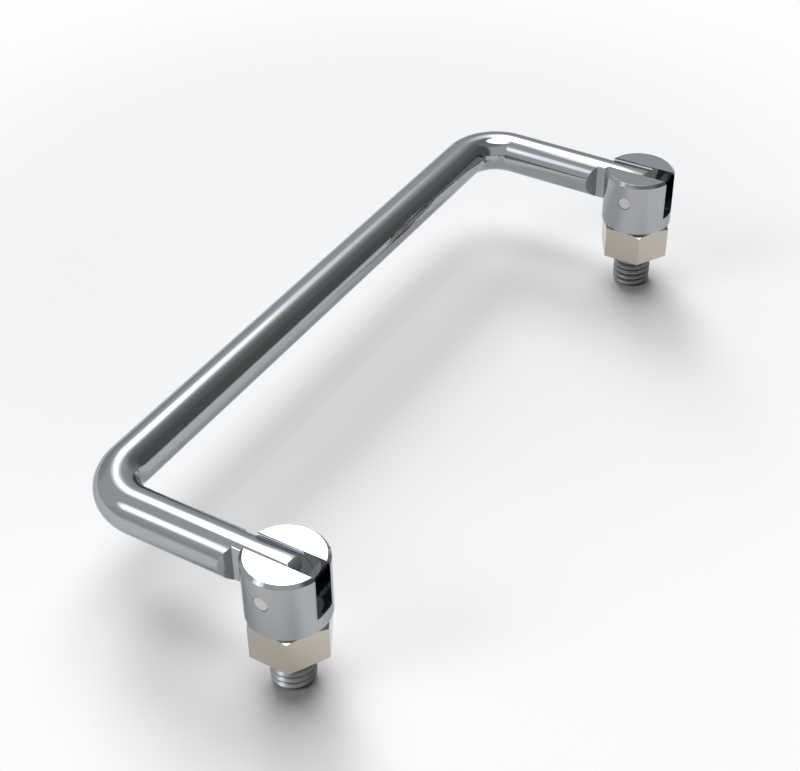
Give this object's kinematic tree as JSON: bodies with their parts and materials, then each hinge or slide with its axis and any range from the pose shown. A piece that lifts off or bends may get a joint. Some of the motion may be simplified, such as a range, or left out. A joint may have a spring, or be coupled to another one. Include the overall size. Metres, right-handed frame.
{
  "type": "folding bar handle",
  "caption": "Round-bar bail handle whose flattened ends turn on cross pins in slotted threaded posts, so that the grip folds flat; a hex nut on each stud.",
  "frame": {"origin": "midway between the two posts, on the plane of the heads' undersides, which is the outer face of the panel", "axes": "+X along the grip from the left post to the right, +Z out of the panel, and the folded grip lies towards -Y"},
  "size_m": [0.1128, 0.038, 0.0209],
  "materials": {
    "bar": "polished",
    "post": "polished, with a thread left as turned",
    "pin": "ground ends",
    "nut": "satin, warm grey"
  },
  "bodies": {
    "posts": {"left_post": "post", "right_post": "post", "left_pin": "pin", "right_pin": "pin", "left_nut": "nut", "right_nut": "nut"},
    "bail": {"handle_bar": "bar"}
  },
  "joints": [
    {"name": "fold", "type": "hinge", "parent": "posts", "child": "bail", "pos_m": [0, 0, 0.0054], "axis": [-1, 0, 0], "range_deg": [0, 180]}
  ]
}
